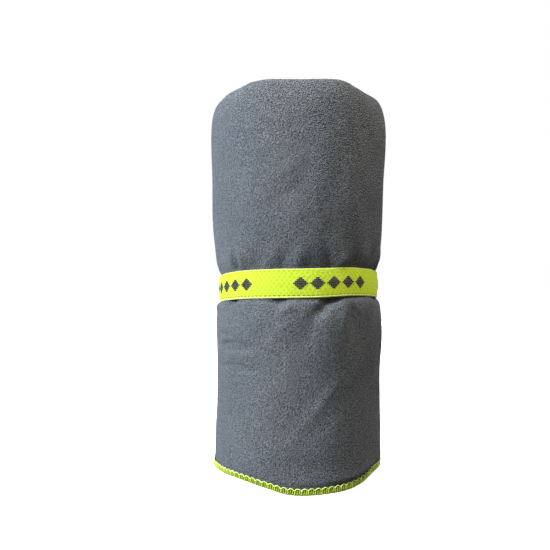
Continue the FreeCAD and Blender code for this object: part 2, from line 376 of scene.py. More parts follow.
class Threads:
    """Collects threads into one mesh."""

    def __init__(self):
        self.points = []
        self.faces = []
        self.total = 0

    def add(self, path, lifted, half_wide, half_thick, sides, closed=False):
        """A thread along a path, whose short way points at the same path lifted off the cloth."""
        points = oval_tube(path, lifted - path, half_wide, half_thick, sides, closed)
        self.faces += tube_faces(len(path), sides, self.total, closed)
        if not closed:
            self.faces += tube_ends(len(path), sides, self.total)
        self.points.append(points)
        self.total += len(points)

    def piece(self, name, material):
        return new_mesh(name, np.concatenate(self.points), self.faces, material)


# The towel: one sheet, folded across its width and wound along its length

# Heights of the mesh's rows in millimetres: on the outer turn, and the ones kept inside the roll
SHEET_LEVELS = (3.2, 9, 22, 45, 70, 86, 93, 98, 102, 105, 108, 112.5, 117, 120, 123, 127, 133, 142,
                155, 175, 195, 208, 215)
DEEP_LEVELS = (3.2, 22, 70, 98, 105, 112.5, 120, 127, 155, 195, 215)
CLOSE_SPACING = 0.7 * MM
FOLD_SPACING = 0.9 * MM
WIDE_SPACING = 2.4 * MM

# Heights of the long edges, the first row above them, and the folds
LONG_EDGE = 0.45 * MM
ABOVE_EDGE = 1.8 * MM
BOTTOM_FOLD = 1.5 * MM
OUTER_TOP = ROLL_TOP - 2.1 * MM
INNER_TOP = OUTER_TOP - 0.3 * MM

# Winding angles of the mesh's columns: far apart inside the roll, then close on the outer turn
FIRST_COLUMN = 4
COARSE_STEP = 7
FINE_START = FULL_WINDING - 395
FINE_COLUMNS = 290
LAST_COLUMN = FULL_WINDING - 0.5

# The overlock squeezes the cloth along its edges: to what share, how far in, and how softly
SQUEEZED = 0.42
SQUEEZED_WIDTH = 3.9 * MM
SQUEEZED_FADE = 1.5 * MM
CORE_RADIUS = 4 * MM

# The tops of the turns wander down by this much, except on the outermost turn
TOP_DROP = 1.8 * MM
EVEN_START = FULL_WINDING - 430
EVEN_FADE = 70


def ply_depth(ply):
    return (ply + 0.5) * PLY_PITCH


def row_spacing(height):
    """Height between rows of the outer turn: least beside the band's edges and at the edging."""
    from_band = abs(height - BAND_MIDDLE)
    if height < 8 * MM or 5 * MM < from_band < 15 * MM:
        return CLOSE_SPACING
    return FOLD_SPACING if from_band < 54 * MM else WIDE_SPACING


def ply_rows(ply, levels):
    return [(ply_depth(ply), level * MM, level not in DEEP_LEVELS) for level in levels]


def outer_ply_rows():
    """The outer ply's rows, with more of them between the levels for its small folds."""
    rows = []
    for row, next_level in zip(ply_rows(0, SHEET_LEVELS), [*SHEET_LEVELS[1:], OUTER_TOP / MM]):
        below, above = row[1], next_level * MM
        spacing = min(row_spacing(below), row_spacing(above))
        extra = max(0, round((above - below) / spacing) - 1)
        between = [below + (above - below) * (k + 1) / (extra + 1) for k in range(extra)]
        rows += [row, *((ply_depth(0), height, True) for height in between)]
    return rows


def fold_rows(from_ply, to_ply, level, way, steps):
    """Rows of a half-round fold between two plies; way is 1 at the top and -1 at the bottom."""
    middle = (ply_depth(from_ply) + ply_depth(to_ply)) / 2
    radius = (to_ply - from_ply) * PLY_PITCH / 2
    return [(middle - radius * math.cos(turn), level + way * abs(radius) * math.sin(turn), False)
            for turn in np.linspace(0, math.pi, steps)]


def section_rows():
    """The sheet's path across its width, as (depth, height, fine) from one long edge to the other.

    Rows marked fine are only used on the outer turn.
    """
    return [
        (ply_depth(0), LONG_EDGE, False),
        (ply_depth(0), ABOVE_EDGE, True),
        *outer_ply_rows(),
        *fold_rows(0, 3, OUTER_TOP, 1, 11),
        *ply_rows(3, SHEET_LEVELS[:0:-1]),
        *fold_rows(3, 2, BOTTOM_FOLD, -1, 7),
        *ply_rows(2, SHEET_LEVELS[1:]),
        *fold_rows(2, 1, INNER_TOP, 1, 7),
        *ply_rows(1, SHEET_LEVELS[::-1]),
        (ply_depth(1), LONG_EDGE, False),
    ]


def section_path():
    """The section's points, the way it runs at each, and the distance along the cloth to each."""
    path = np.array([(depth, height) for depth, height, _ in section_rows()])
    return path, unit(np.gradient(path, axis=0)), runs_along(path)


def thinning(distance):
    """Share of the cloth's thickness at a distance from an edge."""
    return SQUEEZED + (1 - SQUEEZED) * smooth_step((distance - SQUEEZED_WIDTH) / SQUEEZED_FADE)


def section_faces():
    """The two faces of the sheet across its width, as depths and heights."""
    path, along, run = section_path()
    half = CLOTH_THICKNESS / 2 * thinning(np.minimum(run, run[-1] - run))
    normal = np.stack([along[:, 1], -along[:, 0]], axis=1)
    return path - normal * half[:, None], path + normal * half[:, None]


def top_unevenness(winding, height):
    """How the folds at the top of the roll wander up and down from turn to turn."""
    near_top = smooth_step((height - 120 * MM) / (100 * MM))
    inside = 1 - smooth_step((winding - EVEN_START) / EVEN_FADE)
    drop = 0.5 + 0.5 * waves(winding * 0.37, winding * 0.00002, 3, 1.0, 5)
    return -near_top * inside * drop * TOP_DROP


def end_thinning(winding):
    """Share of the cloth's thickness at a winding angle, for its short edges."""
    outer_half = winding > FULL_WINDING / 2
    from_end = math.radians(FULL_WINDING - winding if outer_half else winding)
    return thinning(from_end * (BASE_RADIUS if outer_half else CORE_RADIUS))


def towel_column(winding, front, back):
    """A loop of points round the section: up its front face and back along the other."""
    middle = (front + back) / 2
    half = (front - back) / 2 * end_thinning(winding)
    loop = np.concatenate([middle + half, (middle - half)[::-1]])
    return place(winding, loop[:, 0], loop[:, 1] + top_unevenness(winding, loop[:, 1]))


def join_to_finer(here, rows, there, finer_rows):
    """Faces between a column and one that has more rows."""
    spots = {row: k for k, row in enumerate(finer_rows)}
    n, m = len(rows), len(finer_rows)
    faces = []
    for r in range(n - 1):
        low, high = spots[rows[r]], spots[rows[r + 1]]
        front = range(there + low, there + high + 1)
        back = range(there + 2 * m - 1 - high, there + 2 * m - low)
        faces.append((here + r, *front, here + r + 1))
        faces.append((here + 2 * n - 2 - r, *back, here + 2 * n - 1 - r))
    faces.append((here + n - 1, there + m - 1, there + m, here + n))
    faces.append((here + 2 * n - 1, there + 2 * m - 1, there, here))
    return faces


def make_towel(material):
    rows = section_rows()
    every_row = list(range(len(rows)))
    deep_rows = [k for k, (_, _, fine) in enumerate(rows) if not fine]
    front, back = section_faces()
    fine_windings = np.linspace(FINE_START, LAST_COLUMN, FINE_COLUMNS)
    points, columns, faces = [], [], []
    total = 0
    for winding in [*np.arange(FIRST_COLUMN, FINE_START, COARSE_STEP), *fine_windings]:
        used = deep_rows if winding < FINE_START else every_row
        points.append(towel_column(winding, front[used], back[used]))
        columns.append((total, used))
        total += len(points[-1])
    for (here, used), (there, used_next) in zip(columns, columns[1:]):
        if len(used) == len(used_next):
            faces += joining_faces(here, there, 2 * len(used))
        else:
            faces += join_to_finer(here, used, there, used_next)
    for start, used in (columns[0], columns[-1]):
        faces += flat_end(start, len(used))
    return new_mesh("towel", np.concatenate(points), faces, material)


# The overlock edging: threads that wrap each edge, under a scalloped thread on each face

STITCH_PITCH = 3.6 * MM
EDGING_REACH = EDGING_HEIGHT + 0.8 * MM
OUTWARD_SHIFT = 0.14 * MM

# The scalloped thread: its half width and half thickness, how far it dips and leans in a stitch,
# how far it lies above the wrapping threads, and how far in from the cut it turns
LOOP_SIZE = (0.34 * MM, 0.24 * MM)
SCALLOP_DROP = 1.1 * MM
SCALLOP_LEAN = 0.10
LOOP_LIFT = 0.16 * MM
LOOP_INSET = 0.2 * MM

# The wrapping threads: where each lies as a share of a stitch, and in millimetres how far it stops
# short of the scallops and its half width
WRAP_THREADS = ((0.0, 0.8, 0.46), (0.35, 1.0, 0.22), (0.67, 1.2, 0.26))
WRAP_HALF_THICK = 0.2 * MM
WRAP_SLANT = 0.09
WRAP_INSET = 0.28 * MM

# The fill under the threads, a dark sleeve that paints the shade between them: how far it stops
# short of the scallops, how far its two faces lie below the wrapping threads, the length of its
# steps, and how many points lie across it
FILL_SHORT = 0.7 * MM
FILL_DEPTHS = (0.05 * MM, 0.22 * MM)
FILL_STEP = 0.9 * MM
FILL_POINTS = 13

# How each edging is made: the radius it bends round, points to a stitch, and sides to a thread
OUTER_EDGE = (0.40 * MM, 14, 7)
INSIDE_EDGE = (0.24 * MM, 6, 3)
FREE_END = (0.26 * MM, 8, 5)
CORE_END = (0.26 * MM, 8, 3)

# Winding angles where the edging starts, gets its full detail, and ends; and at the short edges
EDGING_START = 2
OUTER_START = FULL_WINDING - 372
EDGING_END = FULL_WINDING - 2
FREE_END_WINDING = FULL_WINDING - 0.2
CORE_END_WINDING = 3.0
CORE_END_RADIUS = 3.5 * MM


def wrap(across, around):
    """Where a thread lies over an edge: its offset from the cloth's middle, and how far in."""
    quarter = around * math.pi / 2
    bend = np.clip(across / quarter, -1, 1) * math.pi / 2
    inwards = around * (1 - np.cos(bend)) + np.maximum(np.abs(across) - quarter, 0)
    return around * np.sin(bend) + OUTWARD_SHIFT, inwards


def laid(locate, run, across, around, inset):
    """A thread's path over an edge, and the same path a little further from the cloth."""
    paths = []
    for extra in (0.0, 0.2 * MM):
        offset, inwards = wrap(across, around + extra)
        paths.append(locate(run, offset, inwards + inset - extra))
    return paths


def overlock(wraps, loops, length, locate, around, steps, sides):
    """Stitches along an edge; locate gives a point for a run, an offset and a distance in."""
    stitches = int(length / STITCH_PITCH)
    pitch = length / stitches
    t = np.arange(stitches * steps + 1) / steps
    dip = SCALLOP_DROP * np.abs(2 * (t % 1) - 1) ** 3
    run = pitch * (t + SCALLOP_LEAN * np.sin(2 * math.pi * t))
    for face in (1, -1):
        across = face * (EDGING_REACH - dip)
        loops.add(*laid(locate, run, across, around + LOOP_LIFT, LOOP_INSET), *LOOP_SIZE, sides)
    over = np.cos(np.linspace(0, math.pi, 2 * sides - 1))
    for start, short, half_wide in WRAP_THREADS:
        run = pitch * (np.arange(stitches)[:, None] + start + WRAP_SLANT * over[None])
        across = over[None] * (EDGING_REACH - short * MM) + 0 * run
        paths = laid(locate, np.clip(run, 0, length), across, around, WRAP_INSET)
        for path, lifted in zip(*paths):
            wraps.add(path, lifted, half_wide * MM, WRAP_HALF_THICK, sides)


def edging_fill(name, length, locate, around, material):
    """A thin closed sleeve under an edging's stitches, coloured near-black as painted shade between
    the threads.
    """
    run = np.linspace(0, length, int(length / FILL_STEP) + 2)[:, None]
    across = np.linspace(1, -1, FILL_POINTS)[None] * (EDGING_REACH - FILL_SHORT) + 0 * run
    rings = []
    for depth, side in zip(FILL_DEPTHS, (across, across[:, ::-1])):
        offset, inwards = wrap(side, around - depth)
        rings.append(locate(run + 0 * side, offset, inwards + WRAP_INSET + depth))
    points = np.concatenate(rings, axis=1)
    faces = tube_faces(*points.shape[:2]) + tube_ends(*points.shape[:2])
    return new_mesh(name, points.reshape(-1, 3), faces, material)


def along_long_edge(ply, start, end):
    """The length of a long edge between two winding angles, and the place of any point near it."""
    winding = np.linspace(start, end, int(end - start) + 2)
    run_at = runs_along(place(winding, ply_depth(ply), 0.0))

    def locate(run, offset, inwards):
        return place(np.interp(run, run_at, winding), ply_depth(ply) - offset, inwards)

    return run_at[-1], locate


def along_short_edge(at_free_edge):
    """The length of a short edge through all its folds, and the place of any point near it."""
    path, along, run_at = section_path()
    corner = EDGING_HEIGHT + 1.0 * MM
    if at_free_edge:
        end, per_metre = FREE_END_WINDING, math.degrees(1 / BASE_RADIUS)
    else:
        end, per_metre = CORE_END_WINDING, -math.degrees(1 / CORE_END_RADIUS)

    def locate(run, offset, inwards):
        run = run + corner
        depth = np.interp(run, run_at, path[:, 0]) - offset * np.interp(run, run_at, along[:, 1])
        height = np.interp(run, run_at, path[:, 1])
        height += top_unevenness(end, height)
        height = height + offset * np.interp(run, run_at, along[:, 0])
        return place(end - inwards * per_metre, depth, height)

    return run_at[-1] - 2 * corner, locate


def edging(name, stretches, materials):
    """An edging's two pieces: the threads that wrap the edge, and the scalloped threads."""
    wraps, loops = Threads(), Threads()
    for (length, locate), detail in stretches:
        overlock(wraps, loops, length, locate, *detail)
    return [wraps.piece(name + "_thread", materials[0]), loops.piece(name + "_loops", materials[1])]


# The elastic band

BAND_THICKNESS = 0.9 * MM
BAND_CLEARANCE = 0.12 * MM
BAND_CROWN = 0.45 * MM
BAND_COLUMNS = 360
STRIP_ROWS = (-1, -0.96, -0.85, -0.6, -0.3, 0, 0.3, 0.6, 0.85, 0.96, 1)
EDGE_SHARE = 0.45

# The lapped end: the angle of its middle, its length, the steps along it, and the gap under it
LAP_ANGLE = 73
LAP_LENGTH = 15.6 * MM
LAP_STEPS = 19
LAP_GAP = 0.02 * MM

# The stitches across the lap: how many, their swing, how far each row lies from the lap's middle,
# how much of the band's width it crosses, and the thread's half width and thickness
TACK_ZIGZAGS = 28
TACK_SWING = 0.9 * MM
TACK_OFFSET = 4.2 * MM
TACK_SPAN = 12.6 * MM
TACK_SIZE = (0.17 * MM, 0.15 * MM)

# The cords on the lower and upper edges: the radius of their strands and the length of a twist
SELVEDGE_STRANDS = ((-1, 0.36 * MM), (1, 0.24 * MM))
SELVEDGE_TWIST = 2.2 * MM

RUBBER_COUNT = 12
RUBBER_PITCH = 1.2 * MM
RUBBER_RADIUS = 0.2 * MM

# The woven motif: the angles of its groups, how many lozenges each has and how far apart, and the
# length and height of a float, how many lie in each row of a lozenge, their lean and thickness
GROUP_ANGLES = (293, 213, 133, 13)
GROUP_COUNT = 5
MOTIF_PITCH = 9.1 * MM
MOTIF_CELL = (0.98 * MM, 0.92 * MM)
MOTIF_ROWS = (2, 4, 6, 8, 6, 4, 2)
FLOAT_LEAN = 0.12 * MM
FLOAT_HALF_THICK = 0.12 * MM


def centred(count):
    """Numbers one apart whose middle is zero."""
    return np.arange(count) - (count - 1) / 2


def convex_outline(points):
    """The points that a stretched loop round them touches, in order."""
    ordered = sorted(map(tuple, points))

    def half(run):
        chain = []
        for p in run:
            while len(chain) > 1:
                (ax, ay), (bx, by) = chain[-2], chain[-1]
                if (bx - ax) * (p[1] - ay) - (by - ay) * (p[0] - ax) > 0:
                    break
                chain.pop()
            chain.append(p)
        return chain[:-1]

    return np.array(half(ordered) + half(ordered[::-1]))


class BandPath:
    """The stretched loop: a closed line round the waist, with a place for every run along it."""

    def __init__(self):
        winding = np.linspace(FULL_WINDING - 360, FULL_WINDING, 4 * 360 + 1)
        heights = BAND_MIDDLE + band_rise(FREE_EDGE_ANGLE + winding)
        loop = convex_outline(place(winding, 0.0, heights)[:, :2])
        closed = np.vstack([loop, loop[:1]])
        run = runs_along(closed)
        self.length = run[-1]
        self.runs = np.arange(BAND_COLUMNS) * self.length / BAND_COLUMNS
        line = np.stack([np.interp(self.runs, run, closed[:, k]) for k in (0, 1)], axis=1)
        for _ in range(3):
            line = (np.roll(line, 1, 0) + 2 * line + np.roll(line, -1, 0)) / 4
        along = unit(np.roll(line, -1, 0) - np.roll(line, 1, 0))
        self.line = line
        self.out = np.stack([along[:, 1], -along[:, 0]], axis=1)
        self.angles = np.degrees(np.arctan2(line[:, 1], line[:, 0])) % 360

    def around(self, values, run):
        """A value on the loop at any run."""
        spots = np.append(self.runs, self.length)
        wrapped = np.vstack([values, values[:1]])
        run = run % self.length
        return np.stack([np.interp(run, spots, column) for column in wrapped.T], axis=-1)

    def run_at(self, angle):
        """The run whose angle is nearest."""
        off = np.abs((self.angles - angle + 180) % 360 - 180)
        return self.runs[np.argmin(off)]

    def points(self, run, up, out):
        """Points at a run along the band, a height across it and a distance out of its inside."""
        run, up, out = np.broadcast_arrays(run, up, out)
        out = out - BAND_CROWN * (2 * up / BAND_WIDTH) ** 2
        flat = self.around(self.line, run)
        angle = np.degrees(np.arctan2(flat[..., 1], flat[..., 0]))
        spot = flat + self.around(self.out, run) * (out + BAND_CLEARANCE)[..., None]
        return np.concatenate([spot, (BAND_MIDDLE + band_rise(angle) + up)[..., None]], axis=-1)

    def thread_path(self, run, up, out):
        """A thread's path on the band, and the same path a little further out."""
        return self.points(run, up, out), self.points(run, up, out + 0.1 * MM)


def strip_section(inner, outer):
    """The strip's outline as heights across it and distances out, thinner at its two edges."""
    ups = np.array(STRIP_ROWS) * BAND_WIDTH / 2
    middle = (inner + outer) / 2
    half = np.full(len(ups), (outer - inner) / 2)
    half[[0, -1]] *= EDGE_SHARE
    return np.concatenate([ups, ups[::-1]]), np.concatenate([middle + half, middle - half])


def map_weave(piece, runs, ups, closed):
    """Add a UV map in millimetres along and across the strip."""
    layer = piece.data.uv_layers.new(name="weave")
    size = len(ups)
    for face in piece.data.polygons:
        at_seam = closed and any(vertex // size == len(runs) - 1 for vertex in face.vertices)
        for loop in face.loop_indices:
            column, row = divmod(piece.data.loops[loop].vertex_index, size)
            past_end = at_seam and column == 0
            run = runs[-1] + runs[1] - runs[0] if past_end else runs[column]
            layer.data[loop].uv = (run / MM, ups[row] / MM)


def strip(name, band, runs, inner, outer, closed, material):
    """A length of the woven strip between two distances out of the band's inner face."""
    ups, outs = strip_section(inner, outer)
    points = band.points(runs[:, None], ups[None], outs[None]).reshape(-1, 3)
    size = len(ups)
    faces = tube_faces(len(runs), size, closed=closed)
    if not closed:
        faces += flat_end(0, size // 2) + flat_end((len(runs) - 1) * size, size // 2)
    piece = new_mesh(name, points, faces, material)
    map_weave(piece, runs, ups, closed)
    return piece


def selvedges(band, material):
    """A twisted cord of two strands along each edge of the band."""
    threads = Threads()
    turns = round(band.length / SELVEDGE_TWIST)
    t = np.arange(turns * 10) / 10
    for edge, radius in SELVEDGE_STRANDS:
        for strand_start in (0, 0.5):
            phase = 2 * math.pi * (t + strand_start)
            up = edge * (BAND_WIDTH / 2 - radius) + 0.75 * radius * np.cos(phase)
            out = BAND_THICKNESS * 0.62 + 0.75 * radius * np.sin(phase)
            paths = band.thread_path(t * band.length / turns, up, out)
            threads.add(*paths, radius, radius, 5, True)
    return threads.piece("band_selvedges", material)


def rubber_threads(band, material):
    """The stretched threads inside the weave."""
    threads = Threads()
    for k in centred(RUBBER_COUNT):
        paths = band.thread_path(band.runs[::3], k * RUBBER_PITCH, BAND_THICKNESS / 2)
        threads.add(*paths, RUBBER_RADIUS, RUBBER_RADIUS, 4, True)
    return threads.piece("rubber_warp", material)


def lozenge(threads, band, middle):
    """A stepped lozenge of short floats, with its middle at a run along the band."""
    long, tall = MOTIF_CELL
    ends = np.array([-0.5, -0.2, 0.2, 0.5])
    out = BAND_THICKNESS + np.array([-0.02, 0.07, 0.07, -0.02]) * MM
    for row, cells in zip(centred(len(MOTIF_ROWS)), MOTIF_ROWS):
        for cell in centred(cells):
            run = middle + cell * long + ends * long * 1.04
            paths = band.thread_path(run, row * tall + ends * FLOAT_LEAN, out)
            threads.add(*paths, tall * 0.47, FLOAT_HALF_THICK, 6)


def woven_motif(band, material):
    """Groups of stepped lozenges, made of short floats of contrast yarn."""
    threads = Threads()
    for angle in GROUP_ANGLES:
        for k in centred(GROUP_COUNT):
            lozenge(threads, band, band.run_at(angle) + k * MOTIF_PITCH)
    return threads.piece("motif_floats", material)


def bartack(band, material):
    """Two rows of zigzag stitches across the lapped end."""
    threads = Threads()
    t = np.linspace(0, TACK_ZIGZAGS, TACK_ZIGZAGS * 4 + 1)
    swing = (np.abs((t % 2) - 1) * 2 - 1) * TACK_SWING
    up = (t / TACK_ZIGZAGS - 0.5) * TACK_SPAN
    for row in (-1, 1):
        run = band.run_at(LAP_ANGLE) + row * TACK_OFFSET + swing
        threads.add(*band.thread_path(run, up, 2 * BAND_THICKNESS + 0.08 * MM), *TACK_SIZE, 6)
    return threads.piece("bartack_stitches", material)


# Materials: colours are linear

# Threads: the darker and the lighter tone of each, and its sheen
THREADS = {
    "edging_thread": ((0.40, 0.50, 0.020, 1), (0.66, 0.78, 0.06, 1), 0.05),
    "edging_loop_thread": ((0.62, 0.74, 0.12, 1), (0.92, 0.98, 0.40, 1), 0.05),
    # near-black lime: painted shade between the wrapping threads of the edging
    "edging_painted_shade_fill": ((0.045, 0.06, 0.002, 1), (0.11, 0.14, 0.006, 1), 0.0),
    "tack_thread": ((0.50, 0.56, 0.03, 1), (0.78, 0.84, 0.16, 1), 0.05),
    "selvedge_thread": ((0.58, 0.64, 0.08, 1), (0.86, 0.91, 0.32, 1), 0.05),
    "motif_yarn": ((0.010, 0.008, 0.010, 1), (0.060, 0.050, 0.052, 1), 0.05),
}

# Cloth: the tones of its pebbly nap, and how much darker or lighter its brushed patches are
NAP_TONES = ((0.050, 0.0505, 0.051, 1), (0.164, 0.165, 0.166, 1))
PATCH_SHADES = ((0.91, 0.91, 0.92, 1), (1.07, 1.07, 1.06, 1))

# Weave: its tones, with painted highlight specks and painted shade in the edge gaps, the pitches of
# its ribs in millimetres, how far the net wanders, and a painted glow that lifts its shaded side
TWILL_TONES = ((0.35, 0.44, 0.011, 1), (0.465, 0.575, 0.035, 1))
# Painted highlight: pale specks on the raised points of the net
PAINTED_HIGHLIGHT_LIME = (0.60, 0.69, 0.12, 1)
SPECK_LIME = (0.21, 0.25, 0.005, 1)
FUZZ_LIME = (0.25, 0.295, 0.007, 1)
SOFT_LIME = (0.395, 0.47, 0.018, 1)
# Painted shade in the gaps beside the band's edges
GAP_PAINTED_SHADE_LIME = (0.045, 0.055, 0.002, 1)
# Painted glow: the weave emits light of this colour and strength, so its shaded side looks lit
PAINTED_GLOW_LIME = (0.41, 0.50, 0.014, 1)
PAINTED_GLOW_STRENGTH = 0.38
NET_PITCH = 2.75
NET_WANDER = 2.0
TWILL_PITCH = 0.92
RIB_SLANT = 0.8
GAP_ROW = 6.55
GAP_PITCH = 2.6

RUBBER_TONES = ((0.60, 0.54, 0.42, 1), (0.72, 0.66, 0.54, 1))
FLOOR_TONES = ((0.97, 0.955, 0.965, 1), (0.99, 0.975, 0.985, 1))


class Nodes:
    """Short names for building a material's nodes."""

    def __init__(self, name):
        self.material = bpy.data.materials.new(name)
        self.material.use_nodes = True
        self.tree = self.material.node_tree
        self.shader = self.tree.nodes["Principled BSDF"]

    def add(self, kind, inputs=(), **settings):
        made = self.tree.nodes.new(kind)
        for key, value in settings.items():
            setattr(made, key, value)
        for socket, value in dict(inputs).items():
            self.join(value, made.inputs[socket])
        return made

    def join(self, value, socket):
        if isinstance(value, bpy.types.Node):
            value = value.outputs[0]
        if isinstance(value, bpy.types.NodeSocket):
            self.tree.links.new(value, socket)
        else:
            socket.default_value = value

    def place(self):
        return self.add("ShaderNodeTexCoord").outputs["Object"]

    def maths(self, operation, *values):
        return self.add("ShaderNodeMath", enumerate(values), operation=operation)

    def mix(self, share, first, second, blend="MIX"):
        inputs = {0: share, 6: first, 7: second}
        return self.add("ShaderNodeMix", inputs, data_type="RGBA", blend_type=blend).outputs[2]

    def noise(self, coordinates, scale, detail=2.0, roughness=0.5):
        inputs = {"Vector": coordinates, "Scale": scale, "Detail": detail, "Roughness": roughness}
        return self.add("ShaderNodeTexNoise", inputs)

    def spread(self, value, low, high, to_low=0.0, to_high=1.0):
        return self.add("ShaderNodeMapRange", {0: value, 1: low, 2: high, 3: to_low, 4: to_high})

    def finish(self, colour, bump, distance, strength=1.0, **settings):
        self.join(colour, self.shader.inputs["Base Color"])
        inputs = {"Height": bump, "Distance": distance, "Strength": strength}
        self.join(self.add("ShaderNodeBump", inputs), self.shader.inputs["Normal"])
        for name, value in settings.items():
            self.shader.inputs[name.replace("_", " ")].default_value = value
        return self.material


def cloth_material():
    """Suede microfibre: a pebbly brushed nap, with soft patches where it lies another way."""
    n = Nodes("suede_microfibre")
    where = n.place()
    nap = n.noise(where, 1550, 0.6)
    fine = n.noise(where, 2700, 1.0)
    brushed = n.noise(where, 30, 3.0, 0.55)
    colour = n.mix(n.spread(nap, 0.3, 0.7), *NAP_TONES)
    shade = n.mix(n.spread(brushed, 0.3, 0.7), *PATCH_SHADES)
    colour = n.mix(1.0, colour, shade, "MULTIPLY")
    height = n.maths("ADD", n.maths("MULTIPLY", nap, 0.8), n.maths("MULTIPLY", fine, 0.2))
    return n.finish(colour, height, 1.35 * MM, Roughness=0.95, Sheen_Weight=0.06,
                    Sheen_Roughness=0.5, Specular_IOR_Level=0.05)


def thread_material(name, dark, light, sheen):
    """Spun thread: fine fibres along it and small changes of tone."""
    n = Nodes(name)
    where = n.place()
    fibres = n.noise(where, 3200, 2.0, 0.6)
    tone = n.noise(where, 420)
    share = n.maths("ADD", n.maths("MULTIPLY", fibres, 0.5), n.maths("MULTIPLY", tone, 0.5))
    colour = n.mix(n.spread(share, 0.32, 0.68), dark, light)
    return n.finish(colour, fibres, 0.12 * MM, 0.6, Roughness=0.75, Sheen_Weight=sheen,
                    Sheen_Roughness=0.4, Specular_IOR_Level=0.15)


def crossing_ribs(n, along, across, pitch):
    """Two slanted sets of ribs: high only where they cross, and lowest between them."""
    ribs = []
    for slant in (1, -1):
        run = n.maths("ADD", along, n.maths("MULTIPLY", across, RIB_SLANT * slant))
        ribs.append(n.maths("SINE", n.maths("MULTIPLY", run, 2 * math.pi / pitch)))
    return n.maths("MINIMUM", *ribs)


def edge_gaps(n, along, across):
    """A row of small gaps beside each edge of the band: sunk by the bump, and darkened with painted
    shade.
    """
    edge = n.maths("ABSOLUTE", n.maths("SUBTRACT", n.maths("ABSOLUTE", across), GAP_ROW))
    dash = n.maths("SINE", n.maths("MULTIPLY", along, 2 * math.pi / GAP_PITCH))
    return n.maths("MULTIPLY", n.spread(edge, 0.42, 0.22), n.spread(dash, -0.25, 0.35))


def weave_material():
    """The elastic's weave: a net of crossing ribs with painted highlights on its raised points, a
    row of gaps beside each edge darkened with painted shade, most along the lower edge, and a
    painted glow.
    """
    n = Nodes("elastic_weave")
    uv = n.add("ShaderNodeUVMap", uv_map="weave")
    split = n.add("ShaderNodeSeparateXYZ", {"Vector": uv.outputs["UV"]})
    along, across = split.outputs["X"], split.outputs["Y"]
    where = n.place()
    fuzz = n.noise(where, 900, 2.0, 0.6)
    tone = n.noise(where, 140)
    uneven = n.maths("MULTIPLY", n.noise(where, 420, 1.0), NET_WANDER)
    net = crossing_ribs(n, n.maths("ADD", along, uneven), across, NET_PITCH)
    twill = crossing_ribs(n, along, across, TWILL_PITCH)
    gaps = edge_gaps(n, along, across)
    # the painted shade in the gaps is stronger towards the band's lower edge, away from the light
    lower = n.spread(across, 1.0, -1.0, 0.35, 0.85)
    colour = n.mix(n.spread(twill, -0.9, 0.5), *TWILL_TONES)
    for share, tone_over in (
        # painted highlight: pale specks where the net is raised
        (n.maths("MULTIPLY", n.spread(net, -0.55, -0.95), 0.35), PAINTED_HIGHLIGHT_LIME),
        (n.maths("MULTIPLY", n.spread(net, 0.25, 0.85), 0.42), SPECK_LIME),
        (n.spread(fuzz, 0.46, 0.72, 0.0, 0.6), FUZZ_LIME),
        (n.spread(tone, 0.3, 0.7, 0.0, 0.3), SOFT_LIME),
        # painted shade in the edge gaps, stronger towards the lower edge
        (n.maths("MULTIPLY", gaps, lower), GAP_PAINTED_SHADE_LIME),
    ):
        colour = n.mix(share, colour, tone_over)
    raised = n.maths("SUBTRACT", n.maths("MULTIPLY", twill, 0.35), n.maths("MULTIPLY", net, 0.45))
    height = n.maths("SUBTRACT", n.maths("ADD", raised, n.maths("MULTIPLY", fuzz, 0.4)), gaps)
    # painted glow: a constant emission that lifts the band's shaded side
    return n.finish(colour, height, 0.20 * MM, Roughness=0.7, Specular_IOR_Level=0.08,
                    Emission_Color=PAINTED_GLOW_LIME, Emission_Strength=PAINTED_GLOW_STRENGTH)


def rubber_material():
    n = Nodes("natural_rubber")
    dust = n.noise(n.place(), 600)
    colour = n.mix(n.spread(dust, 0.3, 0.7), *RUBBER_TONES)
    return n.finish(colour, dust, 0.05 * MM, 0.4, Roughness=0.8)


def floor_material():
    n = Nodes("pale_floor")
    haze = n.noise(n.place(), 3)
    colour = n.mix(haze, *FLOOR_TONES)
    n.join(colour, n.shader.inputs["Emission Color"])
    return n.finish(colour, haze, 0.01 * MM, 0.1, Roughness=0.9, Specular_IOR_Level=0.1,
                    Emission_Strength=1.0)


# The stage

FLOOR_CORNERS = ((-8, -8, 0), (8, -8, 0), (8, 8, 0), (-8, 8, 0))

# Lamps: name, place, diameter, power and colour; they all point at the middle of the roll
LAMPS = (
    ("key", (-0.92, -0.52, 0.54), 0.5, 36.0, (0.71, 0.84, 1.0)),
    ("overhead", (0.12, -0.17, 0.60), 0.22, 2.9, (1.0, 1.0, 0.97)),
    ("back", (0.12, 1.0, 0.45), 0.7, 10.5, (0.87, 0.93, 1.0)),
)
LAMP_TARGET = (0, 0, 0.11)

# Light from all round: its colour, and its strength from below to above
AMBIENT_COLOUR = (1.0, 1.0, 0.96, 1)
AMBIENT_SLOPES = (-0.5, 0.6)
AMBIENT_STRENGTHS = (0.10, 0.40)
BACKDROP = (1.0, 1.0, 1.0, 1)

CAMERA_PLACE = (0, -0.303, 0.1126)
CAMERA_LENS = 31.3
CAMERA_SHIFT = (-0.0427, 0.0145)


def add_floor():
    floor = new_mesh("floor", FLOOR_CORNERS, [(0, 1, 2, 3)], floor_material())
    floor.visible_diffuse = False


def add_lamp(name, place_at, diameter, power, colour):
    light = bpy.data.lights.new(name, "AREA")
    light.shape = "DISK"
    light.size = diameter
    light.energy = power
    light.color = colour
    lamp = bpy.data.objects.new(name, light)
    bpy.context.scene.collection.objects.link(lamp)
    lamp.location = place_at
    way = Vector(LAMP_TARGET) - Vector(place_at)
    lamp.rotation_euler = way.to_track_quat("-Z", "Y").to_euler()


